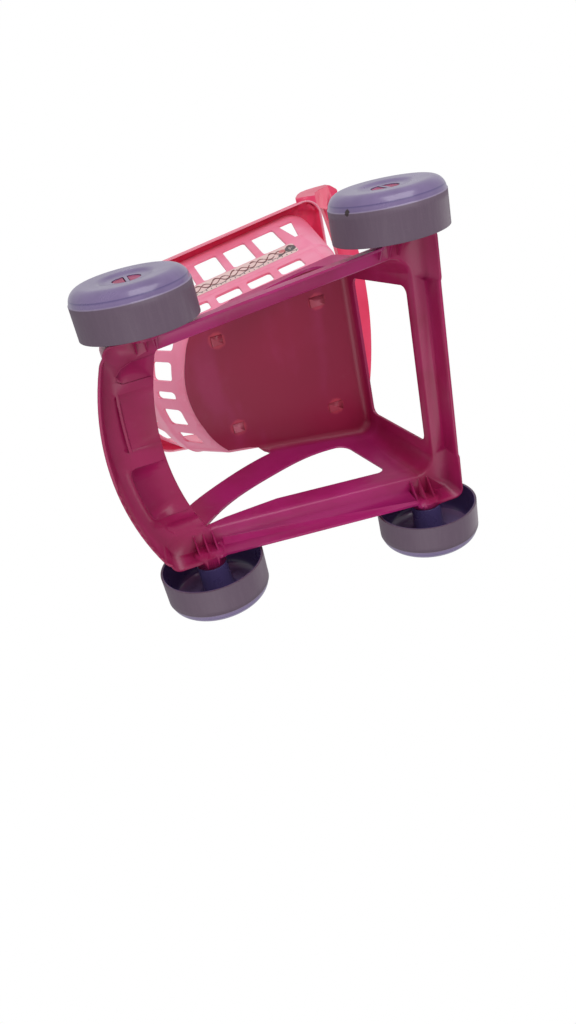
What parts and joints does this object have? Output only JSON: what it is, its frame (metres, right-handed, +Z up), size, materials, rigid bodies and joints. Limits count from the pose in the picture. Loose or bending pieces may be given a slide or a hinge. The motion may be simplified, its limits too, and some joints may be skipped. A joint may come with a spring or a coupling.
{
  "type": "toy shopping trolley",
  "caption": "Toy shopping trolley: slatted basket on a moulded stool-like chassis with push-on wheels and a bowed hand bar.",
  "frame": {"origin": "on the floor under the centre of the overall box", "axes": "+X forward (bowed front of the basket), +Y to the trolley's left, +Z up"},
  "size_m": [0.3774, 0.3436, 0.384],
  "materials": {
    "chassis_plastic": "semi-gloss moulded, magenta",
    "basket_plastic": "semi-gloss moulded, light pink",
    "rim_plastic": "semi-gloss moulded, coral pink",
    "wheel_plastic": "semi-gloss moulded, lavender"
  },
  "bodies": {
    "trolley": {"chassis": "chassis_plastic", "basket": "basket_plastic", "rim_frame": "rim_plastic"},
    "wheel_front_left": {"wheel_front_left": "wheel_plastic"},
    "wheel_front_right": {"wheel_front_right": "wheel_plastic"},
    "wheel_rear_left": {"wheel_rear_left": "wheel_plastic"},
    "wheel_rear_right": {"wheel_rear_right": "wheel_plastic"}
  },
  "joints": [
    {"name": "wheel_front_left_spin", "type": "hinge", "parent": "trolley", "child": "wheel_front_left", "pos_m": [0.12695, 0.1313, 0.05], "axis": [0, 1, 0], "continuous": true},
    {"name": "wheel_front_right_spin", "type": "hinge", "parent": "trolley", "child": "wheel_front_right", "pos_m": [0.12695, -0.1313, 0.05], "axis": [0, 1, 0], "continuous": true},
    {"name": "wheel_rear_left_spin", "type": "hinge", "parent": "trolley", "child": "wheel_rear_left", "pos_m": [-0.09645, 0.1478, 0.05], "axis": [0, 1, 0], "continuous": true},
    {"name": "wheel_rear_right_spin", "type": "hinge", "parent": "trolley", "child": "wheel_rear_right", "pos_m": [-0.09645, -0.1478, 0.05], "axis": [0, 1, 0], "continuous": true}
  ]
}
